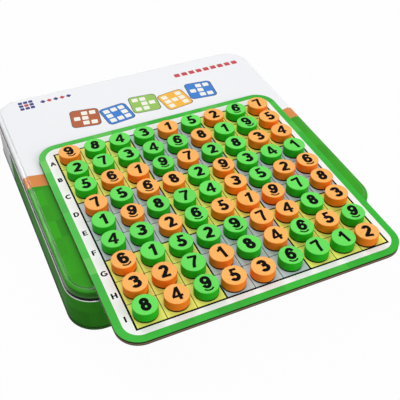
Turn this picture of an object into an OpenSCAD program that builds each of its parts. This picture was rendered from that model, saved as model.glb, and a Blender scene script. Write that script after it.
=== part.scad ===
// Magnetic sudoku set: a laminated play board with foam number pieces, lying on its storage tin.
// The board stands out over the front of the tin, as it does when the set is laid out for play.
// Origin: middle of the whole set on the table, +Y to the rear, +Z up.

/* [Board] */
// Pitch of the playing cells
cell = 25; // [22:0.5:32]
// Margin beside the grid that holds the row and column marks (left and rear)
index_margin = 9; // [6:0.5:14]
// Margin beside the grid with no marks (right and front)
plain_margin = 6; // [3:0.5:10]
// Width of the printed border round the board
border_w = 6.5; // [4:0.5:12]
// Corner radius of the board
board_corner = 20; // [10:1:36]
// Thickness of the printed face sheet
print_t = 0.3; // [0.2:0.05:0.6]
// Thickness of the steel sheet that holds the magnets
steel_t = 0.4; // [0.2:0.05:0.8]
// Thickness of each of the two card plies
ply_t = 1.7; // [1:0.1:3]
// Thickness of the back sheet
back_t = 0.3; // [0.2:0.05:0.6]
// How far the steel sheet stops short of the board's cut edge
steel_setback = 0.3; // [0.1:0.1:2]

/* [Pieces] */
// Diameter of a piece
piece_d = 20.6; // [16:0.1:21.5]
// Height of the foam disc
foam_h = 8.5; // [6:0.5:14]
// Rounding of the foam disc's top edge
foam_round = 1.2; // [0.5:0.1:2]
// Thickness of the magnet sheet under the foam
magnet_t = 1.5; // [0.6:0.1:2]
// How far the magnet sheet stops short of the foam's side
magnet_setback = 0.2; // [0.1:0.1:1]

/* [Tin] */
// Side of the square tin
tin_side = 291; // [270:1:340]
// Corner radius of the tin's wall
tin_corner = 26; // [20:1:40]
// Height of the closed tin
tin_h = 47; // [43:1:70]
// Height of the wall's shoulder, where the lid's skirt begins
shoulder_h = 35.5; // [25:0.5:37]
// Thickness of the tinplate
sheet_t = 0.4; // [0.3:0.05:0.6]
// Inside radius of the sharp bends in the tinplate
bend_r = 0.3; // [0.2:0.05:0.4]
// Outer radius of the wall's shoulder
shoulder_round = 1.2; // [0.8:0.1:1.5]
// Width of the shoulder's step, from the wall's face to the neck's face
shoulder_w = 2.5; // [2.2:0.1:5]
// Width of the flat lip turned in at the top of the neck
neck_lip = 2.3; // [1.5:0.1:5]
// Depth of the recess under the bottom panel
bottom_recess = 2.2; // [1:0.1:4]
// Height of the bottom seam that wraps the foot of the wall
seam_h = 2.6; // [1.5:0.1:5]
// Play of the wall in the bottom seam
seam_slip = 0.05; // [0.02:0.01:0.1]

/* [Lid] */
// Play between the lid's hem and the neck
lid_slip = 0.3; // [0.2:0.05:0.6]
// Dark gap left between the lid's skirt and the shoulder
lid_gap = 0.9; // [0.5:0.1:1.5]
// Height of the safe hem folded inside the skirt's lower edge
lid_hem = 3; // [2:0.5:4]
// Outer radius of the lid's edge
lid_round = 2.2; // [2:0.1:3.5]
// Width of the ledge between the lid's edge and its raised panel
lid_ledge = 1.5; // [1.3:0.1:4]
// Rise of the lid's panel above the ledge
panel_rise = 1.4; // [1.3:0.1:3]

/* [Layout] */
// How far the board stands out in front of the tin
board_overhang = 62.5; // [20:0.5:90]
// How far the board lies to the right of the tin's middle
board_right = 2; // [-15:0.5:15]

/* [Hidden] */
$fn = 96;
count = 9;
colours = ["green", "orange"];
numbers = ["ones", "twos", "threes", "fours", "fives", "sixes", "sevens", "eights", "nines"];
// The solved puzzle and the colour of each piece, rear row first
digits = [
    "984315267", "273468195", "561972834",
    "756829341", "198743526", "432651978",
    "615297483", "327184659", "849536712"
];
tints = [
    "ogggogogo", "gggggoggo", "googoggoo",
    "ogoogoggg", "gogggogoo", "ggogooogo",
    "oggggoogo", "oogogogog", "gogoogggo"
];
// Pieces set down off the middle of their cell: row, column, and the shift to the right
// and to the rear as a share of the room beside a piece in its cell
nudges = [
    [3, 0, 0.45, -0.8], [4, 1, 0.35, -0.2], [5, 2, 0.35, -0.2],
    [7, 0, 0.1, -0.45], [7, 8, -0.2, -1], [8, 0, -0.35, 0],
    [8, 3, -0.7, -0.35], [8, 4, -0.45, -0.7], [8, 8, -1.35, -0.9]
];

// Board sizes and the place of its layers
grid_side = count * cell;
board_side = grid_side + index_margin + plain_margin + 2 * border_w;
lower_ply_z = tin_h + back_t;
upper_ply_z = lower_ply_z + ply_t;
steel_z = upper_ply_z + ply_t;
print_z = steel_z + steel_t;
board_top = print_z + print_t;
piece_room = (cell - piece_d) / 2;

// Places in plan: the bottom seam is the tin's widest part
seam_reach = seam_slip + sheet_t;
tin_y = (board_overhang - seam_reach) / 2;
board_y = tin_y - tin_side / 2 - board_overhang + board_side / 2;
grid_x = board_right + (index_margin - plain_margin) / 2;
grid_y = board_y - (index_margin - plain_margin) / 2;

// Tin profile, measured out from the middle of a corner's arc
neck_x = tin_corner - shoulder_w;
skirt_x = neck_x + lid_slip + 2 * sheet_t;
skirt_z = shoulder_h + lid_gap;
ledge_z = tin_h - panel_rise;
neck_top = ledge_z - sheet_t;
neck_round = lid_round - sheet_t;
lip_x = neck_x - neck_round;
edge_x = skirt_x - lid_round;
step_x = edge_x - lid_ledge;
step_round = bend_r + sheet_t;
panel_x = step_x - bend_r - step_round;
seam_in = tin_corner - 2 * sheet_t - seam_slip;

// Quarter of a flat ring; quadrant 0 is the one to the right and up
module quarter_band(centre, outer_r, inner_r, quadrant) {
    translate(centre)
        intersection() {
            difference() {
                circle(r = outer_r);
                circle(r = inner_r);
            }
            rotate(90 * quadrant)
                square(2 * outer_r);
        }
}

// Sweeps a profile round a square with round corners; the profile's x runs out from a corner's middle
module swept_round(side, corner) {
    straight = side - 2 * corner;
    for (turn = [0 : 90 : 270])
        rotate(turn)
            translate([straight / 2, straight / 2, 0]) {
                rotate_extrude(angle = 90)
                    children();
                rotate([90, 0, 0])
                    linear_extrude(straight)
                        children();
            }
}

// Square middle that closes a panel whose profile reaches in to the corners' middles
module panel_middle(side, corner, low) {
    middle = side - 2 * corner;
    translate([-middle / 2, -middle / 2, low])
        cube([middle, middle, sheet_t]);
}

// Flat square sheet with round corners
module rounded_sheet(side, corner, low, thick) {
    translate([board_right, board_y, low])
        linear_extrude(thick)
            union() {
                square([side, side - 2 * corner], center = true);
                square([side - 2 * corner, side], center = true);
                for (x = [-1, 1], y = [-1, 1])
                    translate([x * (side / 2 - corner), y * (side / 2 - corner)])
                        circle(r = corner);
            }
}

// Wall, shoulder, neck and turned-in lip, drawn as one bent sheet
module wall_profile() {
    union() {
        translate([tin_corner - sheet_t, sheet_t])
            square([sheet_t, shoulder_h - shoulder_round - sheet_t]);
        quarter_band([tin_corner - shoulder_round, shoulder_h - shoulder_round],
            shoulder_round, shoulder_round - sheet_t, 0);
        translate([neck_x + bend_r, shoulder_h - sheet_t])
            square([shoulder_w - shoulder_round - bend_r, sheet_t]);
        quarter_band([neck_x + bend_r, shoulder_h + bend_r], bend_r + sheet_t, bend_r, 2);
        translate([neck_x - sheet_t, shoulder_h + bend_r])
            square([sheet_t, neck_top - neck_round - shoulder_h - bend_r]);
        quarter_band([lip_x, neck_top - neck_round], neck_round, neck_round - sheet_t, 0);
        translate([lip_x - neck_lip, neck_top - sheet_t])
            square([neck_lip, sheet_t]);
    }
}

// Skirt with its folded hem, round edge, ledge, step and the rim of the raised panel
module lid_profile() {
    union() {
        translate([skirt_x - sheet_t, skirt_z])
            square([sheet_t, ledge_z - lid_round - skirt_z]);
        translate([skirt_x - 2 * sheet_t, skirt_z])
            square([2 * sheet_t, lid_hem]);
        quarter_band([edge_x, ledge_z - lid_round], lid_round, lid_round - sheet_t, 0);
        translate([step_x, ledge_z - sheet_t])
            square([lid_ledge, sheet_t]);
        quarter_band([step_x, ledge_z + bend_r], step_round, bend_r, 2);
        translate([panel_x + bend_r, ledge_z + bend_r])
            square([sheet_t, panel_rise - bend_r - step_round]);
        quarter_band([panel_x, tin_h - step_round], step_round, bend_r, 0);
        translate([0, tin_h - sheet_t])
            square([panel_x, sheet_t]);
    }
}

// Seam channel that wraps the foot of the wall, and the rim of the recessed panel
module bottom_profile() {
    union() {
        translate([tin_corner + seam_slip, 0])
            square([sheet_t, seam_h]);
        translate([seam_in, 0])
            square([tin_corner + seam_reach - seam_in, sheet_t]);
        translate([seam_in, 0])
            square([sheet_t, bottom_recess + sheet_t]);
        translate([0, bottom_recess])
            square([seam_in + sheet_t, sheet_t]);
    }
}

module tin_wall() {
    color("forestgreen")
        translate([0, tin_y, 0])
            swept_round(tin_side, tin_corner)
                wall_profile();
}

module tin_bottom() {
    color("silver")
        translate([0, tin_y, 0])
            union() {
                swept_round(tin_side, tin_corner)
                    bottom_profile();
                panel_middle(tin_side, tin_corner, bottom_recess);
            }
}

module tin_lid() {
    color("whitesmoke")
        translate([0, tin_y, 0])
            union() {
                swept_round(tin_side, tin_corner)
                    lid_profile();
                panel_middle(tin_side, tin_corner, tin_h - sheet_t);
            }
}

module board_back_sheet() {
    color("white")
        rounded_sheet(board_side, board_corner, tin_h, back_t);
}

module board_lower_ply() {
    color("rosybrown")
        rounded_sheet(board_side, board_corner, lower_ply_z, ply_t);
}

module board_upper_ply() {
    color("tan")
        rounded_sheet(board_side, board_corner, upper_ply_z, ply_t);
}

module board_steel_sheet() {
    color("dimgray")
        rounded_sheet(board_side - 2 * steel_setback, board_corner - steel_setback, steel_z, steel_t);
}

module board_print_sheet() {
    color("limegreen")
        rounded_sheet(board_side, board_corner, print_z, print_t);
}

// Shift of one piece from the middle of its cell
function nudge(row, column) =
    let (found = [for (n = nudges) if (n[0] == row && n[1] == column) [n[2], n[3]]])
    len(found) > 0 ? found[0] * piece_room : [0, 0];

// Middle of the piece in one cell
function piece_place(row, column) =
    [grid_x + (column - (count - 1) / 2) * cell, grid_y + ((count - 1) / 2 - row) * cell]
    + nudge(row, column);

// Places of all the pieces of one colour that carry one number
function group_places(colour, number) = [
    for (row = [0 : count - 1])
        for (column = [0 : count - 1])
            if (digits[row][column] == str(number) && tints[row][column] == colour[0])
                piece_place(row, column)
];

// Foam disc with a rounded top edge, standing on z = 0
module foam_disc() {
    flat_r = piece_d / 2 - foam_round;
    rotate_extrude()
        union() {
            square([flat_r, foam_h]);
            square([piece_d / 2, foam_h - foam_round]);
            translate([flat_r, foam_h - foam_round])
                circle(r = foam_round);
        }
}

module foam_group(colour, number) {
    color(colour)
        for (place = group_places(colour, number))
            translate([place[0], place[1], board_top + magnet_t])
                foam_disc();
}

module magnet_group(colour, number) {
    color("black")
        for (place = group_places(colour, number))
            translate([place[0], place[1], board_top])
                cylinder(r = piece_d / 2 - magnet_setback, h = magnet_t);
}

tin_wall();
tin_bottom();
tin_lid();
board_back_sheet();
board_lower_ply();
board_upper_ply();
board_steel_sheet();
board_print_sheet();
for (colour = colours)
    for (i = [0 : len(numbers) - 1]) {
        foam_group(colour, i + 1);
        magnet_group(colour, i + 1);
    }
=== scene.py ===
"""Looks of a magnetic sudoku set: a laminated board with foam number pieces, lying on its storage tin."""
import math
import random

import bmesh
import bpy
from mathutils import Matrix, Vector


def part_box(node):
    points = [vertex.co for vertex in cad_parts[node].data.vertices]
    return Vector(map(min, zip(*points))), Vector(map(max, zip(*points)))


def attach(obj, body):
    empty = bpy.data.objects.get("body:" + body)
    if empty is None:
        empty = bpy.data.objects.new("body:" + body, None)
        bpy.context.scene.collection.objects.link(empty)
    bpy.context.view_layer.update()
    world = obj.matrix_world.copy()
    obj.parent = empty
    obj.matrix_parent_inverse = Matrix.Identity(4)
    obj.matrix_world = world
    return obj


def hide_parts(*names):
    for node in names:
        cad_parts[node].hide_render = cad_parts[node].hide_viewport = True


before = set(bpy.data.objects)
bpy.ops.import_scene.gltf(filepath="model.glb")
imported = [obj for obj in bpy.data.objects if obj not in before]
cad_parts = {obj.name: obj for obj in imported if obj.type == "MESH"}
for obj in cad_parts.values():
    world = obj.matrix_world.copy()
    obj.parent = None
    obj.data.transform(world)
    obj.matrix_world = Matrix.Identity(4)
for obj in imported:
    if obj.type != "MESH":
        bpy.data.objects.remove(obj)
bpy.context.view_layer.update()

MM = 0.001
rng = random.Random(821086)

# Print of the board; lengths are in metres
COUNT = 9
BLOCK = 3
CELL = 25 * MM
INDEX_MARGIN = 9 * MM
PLAIN_MARGIN = 6 * MM
BORDER_W = 6.5 * MM
BORDER_TILES = 13
BORDER_JOINT = 0.3 * MM
BOARD_CORNER = 20 * MM
CORNER_STEPS = 24
BOARD_SMOOTH = math.radians(30)
OUTER_LINE = 1.6 * MM
BLOCK_LINE = 1.4 * MM
CELL_LINE = 0.6 * MM
PRINT_LIFT = 0.02 * MM
LETTERS = "ABCDEFGHI"
LETTER_H = 5.7 * MM
LETTER_WIDE = 1.14
INDEX_H = 4.6 * MM
INDEX_SET = 0.52 * INDEX_MARGIN

# Foam pieces and their digits
NUMBERS = ["ones", "twos", "threes", "fours", "fives", "sixes", "sevens", "eights", "nines"]
PIECE_R = 10.3 * MM
PIECE_STEPS = 72
FOAM_ROUND = 0.7 * MM
FOAM_WAIST = 0.1 * MM
FOAM_SMOOTH = math.radians(50)
FOOT_DRAW = 0.14 * MM
FOOT_RISE = 0.35 * MM
RIM_SHARE = 0.994
RIM_OVAL = 0.0035
RIM_LOBES = 0.0025
TONE_LOW = 0.3
TONE_HIGH = 0.6
INK_T = 0.05 * MM
DIGIT_H = 13 * MM
DIGIT_TURN = math.radians(13)
LINED = (6, 9)
LINED_SHARE = 0.94

# Print of the tin, and the painted shade on it
STRIPE_FRONT = 29.5 * MM
STRIPE_REAR = 46 * MM
STRIPE_BOW = 15 * MM
WALL_WHITE = 100 * MM
WALL_PRINT_TOP = 35.15 * MM
TIN_TILE = 22 * MM
EDGE_DROP = 2.6 * MM
# Height of a painted shade line along the lid's hem, for the dark gap under the lid
HEM_SHADE_HEIGHT = 1.7 * MM
BEND_W = 1.3 * MM
# Reach of the ambient occlusion that paints shade into creases
CREASE_SHADE_REACH = 2.5 * MM

# Design on the lid
PUZZLE_TILE = 29 * MM
PUZZLE_EDGE = 0.7 * MM
PUZZLE_STEP = 32.6 * MM
PUZZLE_LEFT = -1.9 * PUZZLE_STEP
PUZZLE_ROW = 110 * MM
PUZZLE_SWAY = 3 * MM
# Ink and tilt of each puzzle tile, in degrees
PUZZLE_LOOKS = [
    ("brown_print", -9),
    ("blue_print", 7),
    ("leaf_print", -5),
    ("amber_print", 8),
    ("blue_print", -6),
]
FIELD = 0.22 * PUZZLE_TILE
FIELD_STEP = 0.29 * PUZZLE_TILE
FIELD_SKIP = 4
DOT = 6.5 * MM
DOT_STEP = 1.36 * DOT
DOT_LEFT = 56 * MM
DOT_ROW = 149 * MM
MARK = 4.4 * MM
MARK_STEP = 1.25 * MARK
MARK_LEFT = -112 * MM
MARK_ROW = 159 * MM
DIAMONDS = 5
DIAMOND_LEFT = MARK_LEFT + 4 * MARK
DIAMOND_STEP = 1.6 * MARK
TILE_ROUND = 0.16

# Places read from the frame
board_low, board_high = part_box("board_print_sheet")
lid_low, lid_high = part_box("tin_lid")
board_mid = (board_low + board_high) / 2
tin_mid = (lid_low + lid_high) / 2
BOARD_SIDE = board_high.x - board_low.x
BOARD_TOP = board_high.z
SKIRT_TOP = lid_high.z - EDGE_DROP
# Top of the painted shade line along the lid's hem
HEM_SHADE_TOP = lid_low.z + HEM_SHADE_HEIGHT
GRID_LEFT = board_low.x + BORDER_W + INDEX_MARGIN
GRID_FRONT = board_low.y + BORDER_W + PLAIN_MARGIN
GRID_SIDE = COUNT * CELL
GRID_REAR = GRID_FRONT + GRID_SIDE


def srgb(red, green, blue):
    """Linear colour of a colour read from a screen, from 0 to 255."""
    def linear(value):
        share = value / 255
        return share / 12.92 if share <= 0.04045 else ((share + 0.055) / 1.055) ** 2.4
    return (linear(red), linear(green), linear(blue), 1)


# Colours
GREEN = srgb(46, 150, 12)
WALL_GREEN = srgb(50, 144, 26)
SEAM_GREEN = srgb(46, 132, 28)
BORDER_GREEN = srgb(43, 174, 42)
BORDER_PALE = srgb(92, 188, 76)
BORDER_DARK = srgb(34, 130, 38)
ORANGE = srgb(214, 134, 70)
WHITE = srgb(236, 237, 240)
BLACK = (0.003, 0.003, 0.003, 1)
PLAIN = (1, 1, 1, 1)
# Painted shade: the tone that darkens the upright skirt of the lid
SKIRT_SHADE_TONE = (0.55, 0.55, 0.55, 1)
# Painted shade: near black, for the dark gap between the lid's hem and the tin's shoulder
HEM_SHADE_TONE = (0.03, 0.03, 0.03, 1)

# Inks of the lid's design, each with its unevenness
LID_INKS = {
    "dark_print": (srgb(64, 62, 72), 0.05),
    "pale_print": (srgb(240, 238, 226), 0.03),
    "red_print": (srgb(196, 62, 70), 0.05),
    "brown_print": (srgb(176, 90, 48), 0.08),
    "blue_print": (srgb(50, 122, 204), 0.08),
    "leaf_print": (srgb(146, 190, 88), 0.08),
    "amber_print": (srgb(242, 180, 56), 0.08),
    "navy_print": (srgb(52, 54, 122), 0.05),
}


# Materials


class Graph:
    """Nodes of one material, with short calls for those that the finishes share."""

    def __init__(self, name, colour, roughness, **sockets):
        self.material = bpy.data.materials.new(name)
        self.material.use_nodes = True
        self.tree = self.material.node_tree
        self.shader = self.tree.nodes["Principled BSDF"]
        self.coords = self.add("ShaderNodeTexCoord")
        self.put("Base Color", colour)
        self.put("Roughness", roughness)
        for socket, value in sockets.items():
            self.put(socket.replace("_", " "), value)

    def add(self, kind, inputs=None, **settings):
        """New node with its settings, and a value or a link for each input."""
        node = self.tree.nodes.new(kind)
        for key, value in settings.items():
            setattr(node, key, value)
        for key, value in (inputs or {}).items():
            self.link(node.inputs[key], value)
        return node

    def link(self, socket, value):
        """Feeds a socket from another node's output, or sets its value."""
        if isinstance(value, bpy.types.NodeSocket):
            self.tree.links.new(value, socket)
        else:
            socket.default_value = value

    def put(self, name, value):
        """Feeds or sets a socket of the shader."""
        self.link(self.shader.inputs[name], value)

    def position(self):
        return self.coords.outputs["Object"]

    def normal(self):
        return self.coords.outputs["Normal"]

    def axis(self, name):
        split = self.add("ShaderNodeSeparateXYZ", {0: self.position()})
        return split.outputs[name]

    def stretch(self, x, y, z):
        mapping = self.add("ShaderNodeMapping", {"Vector": self.position(), "Scale": (x, y, z)})
        return mapping.outputs["Vector"]

    def noise(self, scale, detail=3, rough=0.5, where=None):
        node = self.add("ShaderNodeTexNoise", {
            "Vector": where or self.position(), "Scale": scale, "Detail": detail, "Roughness": rough})
        return node.outputs["Fac"]

    def math(self, operation, first, second=0.0):
        node = self.add("ShaderNodeMath", {0: first, 1: second}, operation=operation)
        return node.outputs[0]

    def vector(self, operation, first, second=(0, 0, 0)):
        node = self.add("ShaderNodeVectorMath", {0: first, 1: second}, operation=operation)
        return node.outputs["Value" if operation == "DOT_PRODUCT" else "Vector"]

    def span(self, value, low, high, to_low=0.0, to_high=1.0):
        """Carries a value from one range over to another, and holds it inside."""
        node = self.add("ShaderNodeMapRange", {
            "Value": value, "From Min": low, "From Max": high, "To Min": to_low, "To Max": to_high})
        return node.outputs["Result"]

    def ramp(self, value, stops, interpolation="LINEAR"):
        node = self.add("ShaderNodeValToRGB", {"Fac": value})
        node.color_ramp.interpolation = interpolation
        elements = node.color_ramp.elements
        while len(elements) < len(stops):
            elements.new(1)
        for element, (place, colour) in zip(elements, stops):
            element.position = place
            element.color = colour
        return node.outputs["Color"]

    def mix(self, share, first, second, blend="MIX"):
        node = self.add("ShaderNodeMix", data_type="RGBA", blend_type=blend)
        self.link(node.inputs[0], share)
        self.link(node.inputs[6], first)
        self.link(node.inputs[7], second)
        return node.outputs[2]

    def tint(self, share, colour, tone):
        """Multiplies a colour by a tone where the share is 1."""
        return self.mix(share, colour, self.mix(1.0, colour, tone, "MULTIPLY"))

    def bump(self, height, distance, strength=1.0):
        node = self.add("ShaderNodeBump", {"Height": height, "Distance": distance, "Strength": strength})
        self.put("Normal", node.outputs["Normal"])


def shades(colour, low, high):
    """Two grades of one colour, as stops of a ramp."""
    def grade(share):
        return (colour[0] * share, colour[1] * share, colour[2] * share, 1)
    return [(0.0, grade(low)), (1.0, grade(high))]


def greys(*stops):
    """Stops of a ramp in grey."""
    return [(place, (level, level, level, 1)) for place, level in stops]


def foam(name, top, side):
    """Closed-cell foam: matt skin, a darker and deeper colour painted as shade on the upright cut side,
    and a small change of tone by piece.
    """
    g = Graph(name, top, 0.62, Specular_IOR_Level=0.14)
    tone = g.add("ShaderNodeAttribute", attribute_name="tone").outputs["Fac"]
    grain = g.noise(900, detail=4, rough=0.6)
    cells = g.math("ADD", g.math("MULTIPLY", grain, 0.35), tone)
    skin = g.ramp(cells, shades(top, 0.84, 1.12))
    # Painted shade: upright faces take a darker, deeper copy of the colour
    side_shade = g.ramp(cells, shades(side, 0.80, 1.14))
    upward = g.add("ShaderNodeSeparateXYZ", {0: g.normal()}).outputs["Z"]
    g.put("Base Color", g.mix(g.span(upward, 0.5, 0.9), side_shade, skin))
    pores = g.add("ShaderNodeTexVoronoi", {"Vector": g.position(), "Scale": 1900}).outputs["Distance"]
    g.bump(g.math("ADD", pores, g.noise(700)), 0.06 * MM, strength=0.35)
    return g.material


def film(g):
    """Faint waves of the laminating film."""
    g.bump(g.noise(420, detail=2), 0.04 * MM, strength=0.25)


def printed(name, colour, spread=0.05, roughness=0.42):
    """Ink on laminated paper, with a faint unevenness and the film's soft gloss."""
    g = Graph(name, colour, roughness, Specular_IOR_Level=0.2, Coat_Weight=0.08, Coat_Roughness=0.28)
    uneven = g.noise(160, detail=4, rough=0.6)
    g.put("Base Color", g.ramp(uneven, shades(colour, 1 - spread, 1 + spread)))
    film(g)
    return g.material


def square_places(g, size, corner=(0, 0, 0)):
    """Places counted in the squares of a mosaic, from a corner."""
    reach = g.vector("SUBTRACT", g.position(), corner)
    return g.vector("MULTIPLY", reach, (1 / size, 1 / size, 1 / size))


def square_tone(g, squares):
    """Random grade of each square of a mosaic."""
    return g.add("ShaderNodeTexWhiteNoise", {"Vector": g.vector("FLOOR", squares)}).outputs["Value"]


def square_joint(g, squares, width):
    """0 on the edge of a mosaic's square and 1 from a joint's width inwards, in shares of a square."""
    split = g.add("ShaderNodeSeparateXYZ", {0: g.vector("FRACTION", squares)})
    inside = 1.0
    for axis in "XY":
        centred = g.math("ABSOLUTE", g.math("SUBTRACT", split.outputs[axis], 0.5))
        inside = g.math("MINIMUM", inside, g.span(centred, 0.5, 0.5 - width))
    return inside


def mosaic(name):
    """Board border: squares in grades of green with thin dark joints."""
    g = Graph(name, BORDER_GREEN, 0.4, Specular_IOR_Level=0.2, Coat_Weight=0.08, Coat_Roughness=0.25)
    size = BOARD_SIDE / BORDER_TILES
    squares = square_places(g, size, tuple(board_low))
    steps = g.math("MULTIPLY", square_tone(g, squares), 0.75)
    clouds = g.math("MULTIPLY", g.noise(45, detail=2), 0.4)
    low, high = shades(BORDER_GREEN, 0.8, 1.05)
    base = g.ramp(g.math("ADD", steps, clouds), [low, (0.7, high[1]), (1.0, BORDER_PALE)])
    inside = square_joint(g, squares, BORDER_JOINT / size)
    g.put("Base Color", g.mix(g.span(inside, 0, 1, 0.5, 0), base, BORDER_DARK))
    film(g)
    return g.material


def card(name, colour):
    """Cut edge of grey board: fibres along the sheet, in layers, darker near the top and the bottom of
    the edge, with a pale band between.
    """
    g = Graph(name, colour, 0.9, Specular_IOR_Level=0.15)
    layers = g.noise(1, detail=5, rough=0.7, where=g.stretch(260, 260, 5200))
    low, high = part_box("board_lower_ply")[0].z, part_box("board_upper_ply")[1].z
    across = g.span(g.axis("Z"), low, high)
    edge_bands = g.ramp(across, greys((0, 0.16), (0.3, 0.3), (0.42, 1), (0.6, 1), (0.72, 0.1), (1, 0.06)))
    fibres = g.ramp(layers, shades(colour, 0.6, 1.4))
    g.put("Base Color", g.mix(1.0, fibres, edge_bands, "MULTIPLY"))
    g.bump(layers, 0.25 * MM, strength=0.6)
    return g.material


def paper(name, colour):
    """Plain uncoated paper."""
    g = Graph(name, colour, 0.75, Specular_IOR_Level=0.25)
    fibres = g.noise(700, detail=5, rough=0.65)
    g.put("Base Color", g.ramp(fibres, shades(colour, 0.93, 1.05)))
    g.bump(fibres, 0.05 * MM, strength=0.3)
    return g.material


def steel(name):
    """Rolled sheet steel."""
    g = Graph(name, (0.16, 0.16, 0.17, 1), 0.38, Metallic=1.0)
    grain = g.noise(1, detail=4, rough=0.6, where=g.stretch(60, 4000, 400))
    g.put("Roughness", g.span(grain, 0, 1, 0.3, 0.5))
    return g.material


def rubber(name):
    """Black magnet sheet with a dull skin."""
    g = Graph(name, (0.004, 0.004, 0.004, 1), 0.62, Specular_IOR_Level=0.08)
    speckle = g.noise(1400)
    g.put("Roughness", g.span(speckle, 0.3, 0.7, 0.5, 0.72))
    g.bump(speckle, 0.04 * MM, strength=0.4)
    return g.material


def ink(name, colour):
    """Screen-printed ink with a thin, slightly uneven film."""
    g = Graph(name, colour, 0.6, Specular_IOR_Level=0.03)
    uneven = g.noise(800, detail=4, rough=0.6)
    g.put("Base Color", g.ramp(uneven, shades(colour, 0.8, 1.2)))
    g.put("Roughness", g.span(uneven, 0.3, 0.7, 0.45, 0.65))
    return g.material


# Tinplate

TIN_ROUGH = 0.12
COAT_ROUGH = 0.03
COAT_IOR = 1.5
BEND_ROUGH = 0.14
BEND_IOR = 2.2
LID_GLOSS = 0.25
SKIRT_GLOSS = 0.05
LID_SHINE = 0.04
WALL_GLOSS = 0.08
SEAM_GLOSS = 0.15
# Painted shade in creases: occlusion levels where the darkening starts, and the spans over which it and
# the hidden metal fade
LID_CREASE_SHADE = 0.3
WALL_CREASE_SHADE = 0.6
CREASE_SHADE_SPAN = 0.35
SHADE_METAL_SPAN = 0.3
LEVEL_LEAN = 0.3


def outside(g, lean):
    """1 on the outer face of the tin's sheet, 0 on its inner face; the lean decides for level faces."""
    reach = g.vector("SUBTRACT", g.position(), tuple(tin_mid))
    away = g.vector("NORMALIZE", g.vector("MULTIPLY", reach, (1, 1, 0)))
    aim = g.vector("ADD", away, (0, 0, lean))
    return g.math("GREATER_THAN", g.vector("DOT_PRODUCT", aim, g.normal()), 0.05)


def bands(g, stops, bow=0.0):
    """Print in bands along the tin's depth, bowed toward the front, with a mosaic on the first band.

    The second result is 1 on every band but the last.
    """
    across = g.math("SUBTRACT", g.axis("X"), tin_mid.x)
    half = lid_high.x - tin_mid.x
    sag = g.span(g.math("MULTIPLY", across, across), 0, half ** 2, bow, 0)
    row = g.math("ADD", g.axis("Y"), sag)
    depth = lid_high.y - lid_low.y
    shares = [((place - lid_low.y) / depth, colour) for place, colour in stops]
    plain = g.ramp(g.span(row, lid_low.y, lid_high.y), shares, "CONSTANT")
    grades = g.ramp(square_tone(g, square_places(g, TIN_TILE)), shades(PLAIN, 0.86, 1.2))
    colour = g.tint(g.math("LESS_THAN", row, stops[1][0]), plain, grades)
    return colour, g.math("LESS_THAN", row, stops[-1][0])


def tinplate(g, colour, print_top, shade_from, lean):
    """Print on the outer face up to a height, bare metal elsewhere, and painted shade from ambient
    occlusion that darkens creases and hollows.
    """
    bare = [(0.3, (0.58, 0.58, 0.58, 1)), (0.7, (0.68, 0.67, 0.65, 1))]
    metal = g.ramp(g.noise(90, detail=4, rough=0.6), bare)
    face = g.math("MULTIPLY", outside(g, lean), g.math("LESS_THAN", g.axis("Z"), print_top))
    # Painted shade: ambient occlusion darkens the colour in creases and hollows and takes the metal's
    # shine away there
    ao_level = g.add("ShaderNodeAmbientOcclusion", {"Distance": CREASE_SHADE_REACH}, samples=8).outputs["AO"]
    crease_shade = g.span(ao_level, shade_from, shade_from + CREASE_SHADE_SPAN, 0.03, 1)
    g.put("Base Color", g.mix(1.0, g.mix(face, metal, colour), crease_shade, "MULTIPLY"))
    unshaded = g.span(ao_level, shade_from, shade_from + SHADE_METAL_SPAN)
    g.put("Metallic", g.math("MULTIPLY", g.span(face, 0, 1, 1, 0), unshaded))
    worn = g.span(g.noise(30), 0.2, 0.8, 0.06, 0.16)
    g.put("Roughness", g.math("ADD", worn, g.span(face, 0, 1, 0.2, 0)))
    g.bump(g.noise(24, detail=2), 0.8 * MM, strength=0.04)


def bend_shine(g, gloss):
    """Varnish that catches more light along the sheet's bends, and rounds it more than the metal does."""
    soft = g.add("ShaderNodeBevel", {"Radius": BEND_W}, samples=16).outputs["Normal"]
    true = g.add("ShaderNodeNewGeometry").outputs["Normal"]
    bent = g.span(g.vector("DOT_PRODUCT", soft, true), 0.998, 0.95)
    g.put("Coat Weight", g.math("MAXIMUM", gloss, bent))
    g.put("Coat Normal", soft)
    g.put("Coat IOR", g.span(bent, 0, 1, COAT_IOR, BEND_IOR))
    g.put("Coat Roughness", g.span(bent, 0, 1, COAT_ROUGH, BEND_ROUGH))


def tin_graph(name, colour, shine, gloss):
    """Start of a varnished finish of the tin."""
    varnish = {"Coat_Weight": gloss, "Coat_Roughness": COAT_ROUGH}
    return Graph(name, colour, TIN_ROUGH, Specular_IOR_Level=shine, **varnish)


def lid_litho(name):
    """Lid: three bands; a duller skirt whose green and orange are darkened by painted shade; a nearly
    black painted shade line along its hem; and shining bends.
    """
    g = tin_graph(name, GREEN, LID_SHINE, LID_GLOSS)
    stops = [(lid_low.y, GREEN), (STRIPE_FRONT, ORANGE), (STRIPE_REAR, WHITE)]
    colour, skirt_shade_bands = bands(g, stops, STRIPE_BOW)
    on_skirt = g.math("LESS_THAN", g.axis("Z"), SKIRT_TOP)
    # Painted shade: the skirt's green and orange bands are darkened
    colour = g.tint(g.math("MULTIPLY", skirt_shade_bands, on_skirt), colour, SKIRT_SHADE_TONE)
    # Painted shade: a nearly black line along the hem, where the gap under the lid is dark
    colour = g.tint(g.math("LESS_THAN", g.axis("Z"), HEM_SHADE_TOP), colour, HEM_SHADE_TONE)
    bend_shine(g, g.span(on_skirt, 0, 1, LID_GLOSS, SKIRT_GLOSS))
    tinplate(g, colour, lid_high.z + MM, LID_CREASE_SHADE, LEVEL_LEAN)
    return g.material


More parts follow.
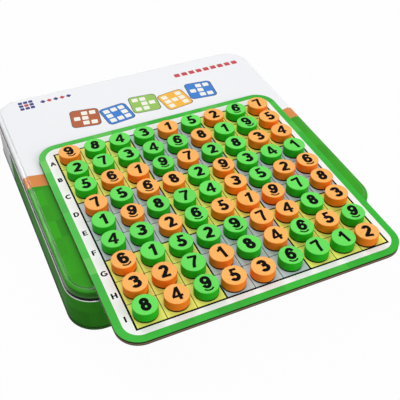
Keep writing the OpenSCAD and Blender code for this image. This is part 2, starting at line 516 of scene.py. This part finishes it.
def wall_litho(name, green, gloss, lean):
    """Wall and bottom: green in front, white at the rear, and bare metal above the print."""
    g = tin_graph(name, green, 0, gloss)
    colour = bands(g, [(lid_low.y, green), (WALL_WHITE, WHITE)])[0]
    tinplate(g, colour, WALL_PRINT_TOP, WALL_CREASE_SHADE, lean)
    return g.material


finishes = {
    "green_foam": foam("green_foam", srgb(102, 218, 91), srgb(34, 184, 23)),
    "orange_foam": foam("orange_foam", srgb(250, 176, 94), srgb(255, 132, 26)),
    "digit_ink": ink("digit_ink", BLACK),
    "magnet": rubber("magnet"),
    "border": mosaic("border"),
    "margin": printed("margin", srgb(238, 239, 236), spread=0.02),
    "yellow_cell": printed("yellow_cell", srgb(230, 232, 106)),
    "grey_cell": printed("grey_cell", srgb(184, 200, 200)),
    "grid_line": ink("grid_line", BLACK),
    "sheet_edge": paper("sheet_edge", srgb(26, 60, 22)),
    "card": card("card", srgb(150, 128, 98)),
    "steel": steel("steel"),
    "back": paper("back", srgb(232, 230, 226)),
    "lid_print": lid_litho("lid_print"),
    "wall_print": wall_litho("wall_print", WALL_GREEN, WALL_GLOSS, LEVEL_LEAN),
    "seam_print": wall_litho("seam_print", SEAM_GREEN, SEAM_GLOSS, lean=0),
}
for lid_ink, (tint, spread) in LID_INKS.items():
    finishes[lid_ink] = printed(lid_ink, tint, spread, roughness=0.2)


def dress(node, finish):
    """Gives a CAD node's object its finish."""
    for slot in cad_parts[node].material_slots:
        slot.material = finishes[finish]


def to_mesh(bm, name):
    """Mesh with the faces of a working mesh, which is freed."""
    mesh = bpy.data.meshes.new(name)
    bm.to_mesh(mesh)
    bm.free()
    return mesh


def piece(name, mesh, body, *used):
    """Links a mesh as a piece that rides on a body, with its finishes in order."""
    thing = bpy.data.objects.new(name, mesh)
    bpy.context.scene.collection.objects.link(thing)
    for finish in used:
        mesh.materials.append(finishes[finish])
    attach(thing, body)
    return thing


def smooth(mesh, angle):
    """Rounds the shading across edges that bend less than the angle."""
    mesh.shade_smooth()
    mesh.set_sharp_from_angle(angle=angle)


# Digits and letters: bold strokes on a height of 1, joined into one flat solid

STROKE = 0.25
HALF = STROKE / 2
WAIST = 0.535
DIGIT_W = 0.62
FOOT_STROKE = 0.11
LETTER_STROKE = 0.23
LETTER_WAIST = 0.53
LETTER_ROUND = (0.33, 0.405)
STEM_ROOT = 0.05


def arc(middle, radii, start, end, steps=28):
    """Points along part of an ellipse, by angles in degrees."""
    points = []
    for i in range(steps + 1):
        turn = math.radians(start + (end - start) * i / steps)
        points.append((middle[0] + radii[0] * math.cos(turn), middle[1] + radii[1] * math.sin(turn)))
    return points


def loop(middle, radii):
    """Whole ellipse that ends where it starts."""
    return arc(middle, radii, 0, 360, 48)


def band(path, width):
    """Left and right edge of a stroke along a path; a path that ends where it starts makes a ring."""
    closed = math.dist(path[0], path[-1]) < 1e-6
    line = path[:-1] if closed else path
    left, right = [], []
    for i, (x, y) in enumerate(line):
        before = line[i - 1] if closed or i > 0 else line[i]
        after = line[(i + 1) % len(line)] if closed or i + 1 < len(line) else line[i]
        dx, dy = after[0] - before[0], after[1] - before[1]
        size = math.hypot(dx, dy)
        nx, ny = -dy / size * width / 2, dx / size * width / 2
        left.append((x + nx, y + ny))
        right.append((x - nx, y - ny))
    return left, right, closed


def band_solid(path, width=STROKE):
    """Stroke of even thickness as a closed mesh between z = 0 and z = 1."""
    left, right, closed = band(path, width)
    bm = bmesh.new()
    rows = []
    for a, b in zip(left, right):
        rows.append([bm.verts.new((*p, z)) for p, z in ((a, 0), (b, 0), (b, 1), (a, 1))])
    pairs = list(zip(rows, rows[1:])) + ([(rows[-1], rows[0])] if closed else [])
    for first, second in pairs:
        for k in range(4):
            bm.faces.new((first[k], first[(k + 1) % 4], second[(k + 1) % 4], second[k]))
    if not closed:
        bm.faces.new(reversed(rows[0]))
        bm.faces.new(rows[-1])
    bmesh.ops.recalc_face_normals(bm, faces=bm.faces)
    return bm


def outline_solid(points):
    """Flat outline as a closed mesh between z = 0 and z = 1."""
    bm = bmesh.new()
    low = [bm.verts.new((x, y, 0)) for x, y in points]
    high = [bm.verts.new((x, y, 1)) for x, y in points]
    bm.faces.new(reversed(low))
    bm.faces.new(high)
    for i in range(len(points)):
        j = (i + 1) % len(points)
        bm.faces.new((low[i], low[j], high[j], high[i]))
    bmesh.ops.recalc_face_normals(bm, faces=bm.faces)
    return bm


def bar(left, low, right, high):
    """Upright rectangle as a closed mesh between z = 0 and z = 1."""
    return outline_solid([(left, low), (right, low), (right, high), (left, high)])


def joined(parts):
    """One clean mesh from solids that overlap."""
    things = []
    for bm in parts:
        things.append(bpy.data.objects.new("stroke", to_mesh(bm, "stroke")))
        bpy.context.scene.collection.objects.link(things[-1])
    for other in things[1:]:
        union = things[0].modifiers.new("join", "BOOLEAN")
        union.operation = "UNION"
        union.object = other
    graph = bpy.context.evaluated_depsgraph_get()
    mesh = bpy.data.meshes.new_from_object(things[0].evaluated_get(graph))
    for thing in things:
        bpy.data.objects.remove(thing)
    return mesh


def digit_parts(number, lined=True):
    """Strokes of one digit; a 6 and a 9 have a curved line under their foot."""
    top, low = (1 - HALF + WAIST) / 2, (WAIST + HALF) / 2
    upper, lower = (1 - HALF - WAIST) / 2, (WAIST - HALF) / 2
    if number == 1:
        flag = [(0, 0.6), (0, 0.78), (0.14, 0.86), (0.24, 1), (0.4, 1), (0.36, 0.76), (0.22, 0.68)]
        return [bar(0.2, 0, 0.42, 1), outline_solid(flag)]
    if number == 2:
        sweep = arc((0.295, 0.675), (0.185, 0.215), 168, -28) + [(0.30, 0.34), (0.18, 0.18), (0.13, 0.08)]
        return [band_solid(sweep), bar(0.01, 0, 0.6, 0.2)]
    if number == 3:
        waist = [(0.21, WAIST)]
        return [
            band_solid(arc((0.29, top), (0.2, upper), 160, -90) + waist),
            band_solid(waist + arc((0.29, low), (0.225, lower), 90, -162)),
        ]
    if number == 4:
        slope = [(0, 0.21), (0, 0.38), (0.36, 1), (0.46, 1), (0.46, 0.82), (0.2, 0.38), (0.2, 0.21)]
        return [bar(0.36, 0, 0.56, 1), bar(0, 0.21, 0.67, 0.385), outline_solid(slope)]
    if number == 5:
        stem = [(0.13, 0.42), (0.30, 0.46), (0.34, 0.9), (0.15, 0.9)]
        belly = arc((0.295, 0.325), (0.225, 0.225), 140, -162)
        return [bar(0.15, 0.81, 0.58, 1), outline_solid(stem), band_solid(belly)]
    if number == 7:
        right_side = [(0.15, 0), (0.36, 0), (0.40, 0.24), (0.49, 0.54), (0.62, 0.83)]
        left_side = [(0.40, 0.83), (0.28, 0.55), (0.19, 0.26)]
        return [bar(0.02, 0.81, 0.62, 1), outline_solid(right_side + left_side)]
    if number == 8:
        return [band_solid(loop((0.3, top), (0.165, upper))), band_solid(loop((0.3, low), (0.19, lower)))]
    paths = [
        loop((0.31, 0.325), (0.215, 0.225)),
        [(0.098, 0.33)] + arc((0.33, 0.5), (0.235, 0.4), 178, 28),
    ]
    if number == 9:
        paths = [[(DIGIT_W - x, 1 - y) for x, y in path] for path in paths]
    strokes = [band_solid(path) for path in paths]
    if lined:
        strokes.append(band_solid(arc((0.31, 0.33), (0.42, 0.52), -136, -44, 16), FOOT_STROKE))
    return strokes


def letter_parts(letter):
    """Strokes of one row letter from A to I."""
    high, low = 1 - LETTER_STROKE / 2, LETTER_STROKE / 2
    stem = (0, 0, LETTER_STROKE, 1)

    def belly(middle, radii, upper, lower):
        return [(STEM_ROOT, upper)] + arc(middle, radii, 90, -90) + [(STEM_ROOT, lower)]

    bars = {
        "A": [(0.2, 0.24, 0.6, 0.4)],
        "B": [stem],
        "C": [],
        "D": [stem],
        "E": [stem, (0, 0.82, 0.6, 1), (0, 0.42, 0.55, 0.6), (0, 0, 0.62, 0.18)],
        "F": [stem, (0, 0.82, 0.6, 1), (0, 0.42, 0.53, 0.6)],
        "G": [(0.44, 0.36, 0.83, 0.52), (0.65, 0.14, 0.83, 0.52)],
        "H": [stem, (0.5, 0, 0.73, 1), (0, 0.42, 0.73, 0.6)],
        "I": [stem],
    }[letter]
    upper_mid, upper_r = (high + LETTER_WAIST) / 2, (high - LETTER_WAIST) / 2
    lower_mid, lower_r = (low + LETTER_WAIST) / 2, (LETTER_WAIST - low) / 2
    paths = {
        "A": [[(0.09, 0), (0.4, 0.98)], [(0.4, 0.98), (0.71, 0)]],
        "B": [
            belly((0.3, upper_mid), (0.19, upper_r), high, LETTER_WAIST),
            belly((0.32, lower_mid), (0.22, lower_r), LETTER_WAIST, low),
        ],
        "C": [arc((0.42, 0.5), LETTER_ROUND, 45, 315)],
        "D": [belly((0.3, 0.5), LETTER_ROUND, high, low)],
        "G": [arc((0.42, 0.5), LETTER_ROUND, 45, 325)],
    }.get(letter, [])
    return [bar(*box) for box in bars] + [band_solid(path, LETTER_STROKE) for path in paths]


def print_mesh(parts, height, thick):
    """Strokes as one thin solid in metres, centred on its own box."""
    mesh = joined(parts)
    lows = [min(v.co[k] for v in mesh.vertices) for k in range(2)]
    highs = [max(v.co[k] for v in mesh.vertices) for k in range(2)]
    middle = Matrix.Translation((-(lows[0] + highs[0]) / 2, -(lows[1] + highs[1]) / 2, 0))
    mesh.transform(Matrix.Diagonal((height, height, thick, 1)) @ middle)
    return mesh


# Pieces


def places(node):
    """Middle of the foot of each disc in a group, and its height, read from the CAD node."""
    bm = bmesh.new()
    bm.from_mesh(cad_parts[node].data)
    bmesh.ops.remove_doubles(bm, verts=bm.verts, dist=1e-6)
    left = set(bm.verts)
    found = []
    while left:
        reached = {left.pop()}
        front = list(reached)
        while front:
            near = {edge.other_vert(vertex) for vertex in front for edge in vertex.link_edges}
            front = list(near - reached)
            reached |= near
        left -= reached
        low = Vector([min(v.co[k] for v in reached) for k in range(3)])
        high = Vector([max(v.co[k] for v in reached) for k in range(3)])
        middle = (low + high) / 2
        found.append((Vector((middle.x, middle.y, low.z)), high.z - low.z))
    bm.free()
    return sorted(found, key=lambda item: tuple(item[0]))


def foam_profile(height):
    """Radius and height of the disc's drawn-in foot, waisted side, round edge and flat top."""
    foot = [(PIECE_R - FOOT_DRAW, 0.0), (PIECE_R, FOOT_RISE)]
    pinches = ((0.25, 0.7), (0.5, 1), (0.75, 0.6))
    side = [(PIECE_R - FOAM_WAIST * pinch, height * share) for share, pinch in pinches]
    middle = (PIECE_R - FOAM_ROUND, height - FOAM_ROUND)
    edge = arc(middle, (FOAM_ROUND, FOAM_ROUND), 0, 90, 6)
    top = [(PIECE_R * share, height) for share in (0.84, 0.6, 0.3)]
    return foot + side + edge + top


def foam_disc(bm, tone_layer, foot, height):
    """Die-cut disc with a slightly uneven rim."""
    first, second = rng.uniform(0, math.tau), rng.uniform(0, math.tau)
    tone = rng.uniform(TONE_LOW, TONE_HIGH)
    rings = []
    for radius, z in foam_profile(height):
        ring = []
        for i in range(PIECE_STEPS):
            turn = math.tau * i / PIECE_STEPS
            oval = RIM_OVAL * math.sin(2 * turn + first)
            lobes = RIM_LOBES * math.sin(3 * turn + second)
            reach = radius * (RIM_SHARE + oval + lobes)
            ring.append(bm.verts.new(foot + Vector((reach * math.cos(turn), reach * math.sin(turn), z))))
        rings.append(ring)
    for lower, upper in zip(rings, rings[1:]):
        for i in range(PIECE_STEPS):
            j = (i + 1) % PIECE_STEPS
            bm.faces.new((lower[i], lower[j], upper[j], upper[i]))
    bm.faces.new(rings[-1])
    bm.faces.new(reversed(rings[0]))
    for ring in rings:
        for vertex in ring:
            vertex[tone_layer] = tone


def make_group(colour, number, digit):
    """Foam discs of one colour and number as one object, and their printed digits as another."""
    body = f"{colour}_{number}"
    discs, prints = bmesh.new(), bmesh.new()
    tone_layer = discs.verts.layers.float.new("tone")
    for foot, height in places(body + "_foam"):
        foam_disc(discs, tone_layer, foot, height - INK_T)
        turn = Matrix.Rotation(rng.uniform(-DIGIT_TURN, DIGIT_TURN), 4, "Z")
        stamp = digit.copy()
        stamp.transform(Matrix.Translation(foot + Vector((0, 0, height - INK_T))) @ turn)
        prints.from_mesh(stamp)
        bpy.data.meshes.remove(stamp)
    mesh = to_mesh(discs, body + "_discs")
    smooth(mesh, FOAM_SMOOTH)
    thing = piece(body + "_discs", mesh, body, f"{colour}_foam")
    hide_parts(body + "_foam")
    mesh = to_mesh(prints, body + "_ink")
    mesh.materials.clear()
    piece(body + "_ink", mesh, body, "digit_ink")
    dress(body + "_magnets", "magnet")


def make_groups():
    """All groups of like pieces."""
    for value, number in enumerate(NUMBERS, start=1):
        tall = DIGIT_H * (LINED_SHARE if value in LINED else 1)
        digit = print_mesh(digit_parts(value), tall, INK_T)
        for colour in ("green", "orange"):
            make_group(colour, number, digit)
        bpy.data.meshes.remove(digit)


# Board

FACE_FINISHES = ["border", "margin", "yellow_cell", "grey_cell", "grid_line", "sheet_edge"]


def rounded_square(middle, side, corner):
    """Corner arcs of a square with round corners, anticlockwise from the right."""
    reach = side / 2 - corner
    points = []
    for k, (sx, sy) in enumerate(((1, 1), (-1, 1), (-1, -1), (1, -1))):
        centre = (middle.x + sx * reach, middle.y + sy * reach)
        points += arc(centre, (corner, corner), 90 * k, 90 * k + 90, CORNER_STEPS)
    return points


def face_of(bm, corners, finish):
    """Face of the board's print with one of its finishes."""
    face = bm.faces.new(corners)
    face.material_index = FACE_FINISHES.index(finish)


def strip(bm, outer, inner, finish):
    """Ring between two loops of as many points."""
    rims = [[bm.verts.new(p) for p in rim] for rim in (outer, inner)]
    for i in range(len(outer)):
        j = (i + 1) % len(outer)
        face_of(bm, (rims[0][i], rims[0][j], rims[1][j], rims[1][i]), finish)
    return rims


def raised(points, z):
    """Flat points at a height."""
    return [(x, y, z) for x, y in points]


def line_width(index):
    """Width of a grid line, counted from the grid's edge."""
    if index in (0, COUNT):
        return OUTER_LINE
    return BLOCK_LINE if index % BLOCK == 0 else CELL_LINE


def make_grid(bm):
    """Cells and lines of the grid, laid edge to edge."""
    marks = []
    for i in range(COUNT + 1):
        half = line_width(i) / 2
        marks += [i * CELL - half, i * CELL + half]
    knots = [[bm.verts.new((GRID_LEFT + x, GRID_FRONT + y, BOARD_TOP)) for x in marks] for y in marks]
    for row, (front, rear) in enumerate(zip(knots, knots[1:])):
        for column in range(len(marks) - 1):
            block = row // (2 * BLOCK) + column // (2 * BLOCK)
            finish = "yellow_cell" if block % 2 == 0 else "grey_cell"
            if row % 2 == 0 or column % 2 == 0:
                finish = "grid_line"
            face_of(bm, (front[column], front[column + 1], rear[column + 1], rear[column]), finish)


def make_face():
    """Printed face of the board: border, margin, grid and cut edge."""
    bm = bmesh.new()
    rim = rounded_square(board_mid, BOARD_SIDE, BOARD_CORNER)
    inner = rounded_square(board_mid, BOARD_SIDE - 2 * BORDER_W, BOARD_CORNER - BORDER_W)
    strip(bm, raised(rim, BOARD_TOP), raised(inner, BOARD_TOP), "border")
    reach = OUTER_LINE / 2
    low = (GRID_LEFT - reach, GRID_FRONT - reach)
    high = (GRID_LEFT + GRID_SIDE + reach, GRID_REAR + reach)
    grid = [(min(max(x, low[0]), high[0]), min(max(y, low[1]), high[1])) for x, y in inner]
    strip(bm, raised(inner, BOARD_TOP), raised(grid, BOARD_TOP), "margin")
    make_grid(bm)
    low_rim = strip(bm, raised(rim, board_low.z), raised(rim, BOARD_TOP), "sheet_edge")[0]
    face_of(bm, reversed(low_rim), "sheet_edge")
    bmesh.ops.remove_doubles(bm, verts=bm.verts, dist=1e-7)
    mesh = to_mesh(bm, "board_face")
    smooth(mesh, BOARD_SMOOTH)
    thing = piece("board_face", mesh, "board", *FACE_FINISHES)
    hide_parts("board_print_sheet")


def make_index():
    """Row letters in the left margin and column numbers in the rear one."""
    bm = bmesh.new()
    for i in range(COUNT):
        along = (i + 0.5) * CELL
        letter = print_mesh(letter_parts(LETTERS[i]), LETTER_H, PRINT_LIFT)
        place = (GRID_LEFT - INDEX_SET, GRID_REAR - along, BOARD_TOP)
        letter.transform(Matrix.Translation(place) @ Matrix.Diagonal((LETTER_WIDE, 1, 1, 1)))
        figure = print_mesh(digit_parts(i + 1, lined=False), INDEX_H, PRINT_LIFT)
        place = (GRID_LEFT + along, GRID_REAR + INDEX_SET, BOARD_TOP)
        figure.transform(Matrix.Translation(place))
        for mesh in (letter, figure):
            bm.from_mesh(mesh)
            bpy.data.meshes.remove(mesh)
    mesh = to_mesh(bm, "board_index")
    mesh.materials.clear()
    piece("board_index", mesh, "board", "digit_ink")


# Design on the lid


def flat_tile(bm, middle, side, layer, ink_name, turn=0.0):
    """Square with round corners, printed flat in a layer over the lid's panel."""
    outline = rounded_square(Vector((0, 0)), side, side * TILE_ROUND)
    spin = Matrix.Rotation(turn, 2)
    z = lid_high.z + PRINT_LIFT * layer
    face = bm.faces.new([bm.verts.new((*(spin @ Vector(p) + middle), z)) for p in outline])
    face.material_index = list(LID_INKS).index(ink_name)


def puzzle_tile(bm, index, ink_name, degrees):
    """Tilted tile with a dark edge and some pale fields in three rows."""
    sway = PUZZLE_SWAY if index % 2 == 0 else -PUZZLE_SWAY
    middle = Vector((tin_mid.x + PUZZLE_LEFT + index * PUZZLE_STEP, PUZZLE_ROW + sway))
    turn = math.radians(degrees)
    flat_tile(bm, middle, PUZZLE_TILE + 2 * PUZZLE_EDGE, 1, "dark_print", turn)
    flat_tile(bm, middle, PUZZLE_TILE, 2, ink_name, turn)
    for column in range(BLOCK):
        for row in range(BLOCK):
            step = Matrix.Rotation(turn, 2) @ Vector((column - 1, row - 1)) * FIELD_STEP
            if (column + 2 * row + index) % FIELD_SKIP:
                flat_tile(bm, middle + step, FIELD, 3, "pale_print", turn)


def make_lid_print():
    """Design on the lid's white field: tilted puzzle tiles, a line of dots and a mark made of squares."""
    bm = bmesh.new()
    for index, (ink_name, degrees) in enumerate(PUZZLE_LOOKS):
        puzzle_tile(bm, index, ink_name, degrees)
    for k in range(COUNT):
        place = Vector((tin_mid.x + DOT_LEFT + k * DOT_STEP, DOT_ROW))
        flat_tile(bm, place, DOT, 1, "red_print")
    for k in range(COUNT):
        step = Vector((k % BLOCK - 1, k // BLOCK - 1)) * MARK_STEP
        ink_name = "red_print" if k == COUNT // 2 else "navy_print"
        flat_tile(bm, Vector((tin_mid.x + MARK_LEFT, MARK_ROW)) + step, MARK, 1, ink_name)
    for k in range(DIAMONDS):
        place = Vector((tin_mid.x + DIAMOND_LEFT + k * DIAMOND_STEP, MARK_ROW))
        ink_name = "navy_print" if k % 2 == 0 else "red_print"
        flat_tile(bm, place, MARK, 1, ink_name, math.radians(45))
    piece("lid_tiles", to_mesh(bm, "lid_tiles"), "tin_lid", *LID_INKS)


# Light, floor and camera

FLOOR_R = 4
FLOOR_STEPS = 96
FLOOR_DROP = 0.1 * MM
FLOOR_TONE = (0.6, 0.6, 0.6, 1)
FLOOR_SHOW = 0.97
SKY = 0.27
CAMERA_REACH = Vector((-205.2 * MM, -421.5 * MM, 424.6 * MM))
LOOK_RIGHT = math.radians(24.83)
LOOK_DOWN = math.radians(42.52)
CAMERA_ROLL = math.radians(0.75)
FOCAL_PIXELS = 702.98
FRAME_PIXELS = 400
SENSOR = 36


def make_camera():
    """Camera at the photo's view, placed from the middle of the grid."""
    data = bpy.data.cameras.new("camera")
    data.sensor_width = SENSOR
    data.lens = FOCAL_PIXELS / FRAME_PIXELS * SENSOR
    camera = bpy.data.objects.new("camera", data)
    turn = Matrix.Rotation(-LOOK_RIGHT, 4, "Z") @ Matrix.Rotation(math.pi / 2 - LOOK_DOWN, 4, "X")
    roll = Matrix.Rotation(CAMERA_ROLL, 4, "Z")
    grid_mid = Vector((GRID_LEFT + GRID_SIDE / 2, GRID_FRONT + GRID_SIDE / 2, BOARD_TOP))
    camera.matrix_world = Matrix.Translation(grid_mid + CAMERA_REACH) @ turn @ roll
    bpy.context.scene.collection.objects.link(camera)
    bpy.context.scene.camera = camera


def seen_ray(tree):
    """1 for rays from the camera, a reflection or a clear body, 0 for those that carry light."""
    path = tree.nodes.new("ShaderNodeLightPath")
    seen = path.outputs["Is Camera Ray"]
    for name in ("Is Glossy Ray", "Is Transmission Ray"):
        either = tree.nodes.new("ShaderNodeMath")
        either.operation = "MAXIMUM"
        tree.links.new(seen, either.inputs[0])
        tree.links.new(path.outputs[name], either.inputs[1])
        seen = either.outputs[0]
    return seen


def floor_finish():
    """Matt floor that shows near white and keeps the shadow."""
    material = bpy.data.materials.new("floor")
    material.use_nodes = True
    tree = material.node_tree
    tree.nodes.clear()
    matt = tree.nodes.new("ShaderNodeBsdfDiffuse")
    matt.inputs["Color"].default_value = FLOOR_TONE
    glow = tree.nodes.new("ShaderNodeEmission")
    share = tree.nodes.new("ShaderNodeMath")
    share.operation = "MULTIPLY"
    share.inputs[1].default_value = FLOOR_SHOW
    blend = tree.nodes.new("ShaderNodeMixShader")
    end = tree.nodes.new("ShaderNodeOutputMaterial")
    tree.links.new(seen_ray(tree), share.inputs[0])
    tree.links.new(share.outputs[0], blend.inputs[0])
    tree.links.new(matt.outputs[0], blend.inputs[1])
    tree.links.new(glow.outputs[0], blend.inputs[2])
    tree.links.new(blend.outputs[0], end.inputs["Surface"])
    return material


def make_floor():
    """Round floor just under the tin."""
    bm = bmesh.new()
    bmesh.ops.create_circle(bm, cap_ends=True, segments=FLOOR_STEPS, radius=FLOOR_R)
    mesh = to_mesh(bm, "floor")
    mesh.materials.append(floor_finish())
    floor = bpy.data.objects.new("floor", mesh)
    floor.location.z = -FLOOR_DROP
    bpy.context.scene.collection.objects.link(floor)


def make_world():
    """Soft sky for the light, white where the camera or a reflection sees it."""
    world = bpy.data.worlds.new("studio")
    bpy.context.scene.world = world
    world.use_nodes = True
    tree = world.node_tree
    sky = tree.nodes["Background"]
    sky.inputs["Color"].default_value = (1, 1, 1, 1)
    level = tree.nodes.new("ShaderNodeMapRange")
    level.inputs["To Min"].default_value = SKY
    tree.links.new(seen_ray(tree), level.inputs["Value"])
    tree.links.new(level.outputs["Result"], sky.inputs["Strength"])


def make_lamp(name, place, size, power, length=None):
    """Soft lamp that points at the tin: round, or a strip of this length that stands upright."""
    data = bpy.data.lights.new(name, "AREA")
    data.shape = "ELLIPSE"
    data.size = size
    data.size_y = length or size
    data.energy = power
    lamp = bpy.data.objects.new(name, data)
    lamp.location = place
    aim = Vector((0, 0, 0))
    lamp.rotation_euler = (aim - Vector(place)).to_track_quat("-Z", "Y").to_euler()
    bpy.context.scene.collection.objects.link(lamp)


make_camera()
make_groups()
make_face()
make_index()
make_lid_print()
for ply in ("board_upper_ply", "board_lower_ply"):
    dress(ply, "card")
dress("board_steel_sheet", "steel")
dress("board_back_sheet", "back")
dress("tin_lid", "lid_print")
dress("tin_wall", "wall_print")
dress("tin_bottom", "seam_print")
make_floor()
make_world()
make_lamp("overhead", (0, 0, 1.4), size=2.0, power=9.2)
make_lamp("front", (0.8, -1.25, 0.95), size=0.9, power=11.5)
make_lamp("spot", (-0.1, -0.05, 1.4), size=0.1, power=1.5)
make_lamp("rear", (-0.15, 1.08, 1.08), size=0.16, power=6, length=0.46)
bpy.context.scene.view_settings.view_transform = "Standard"
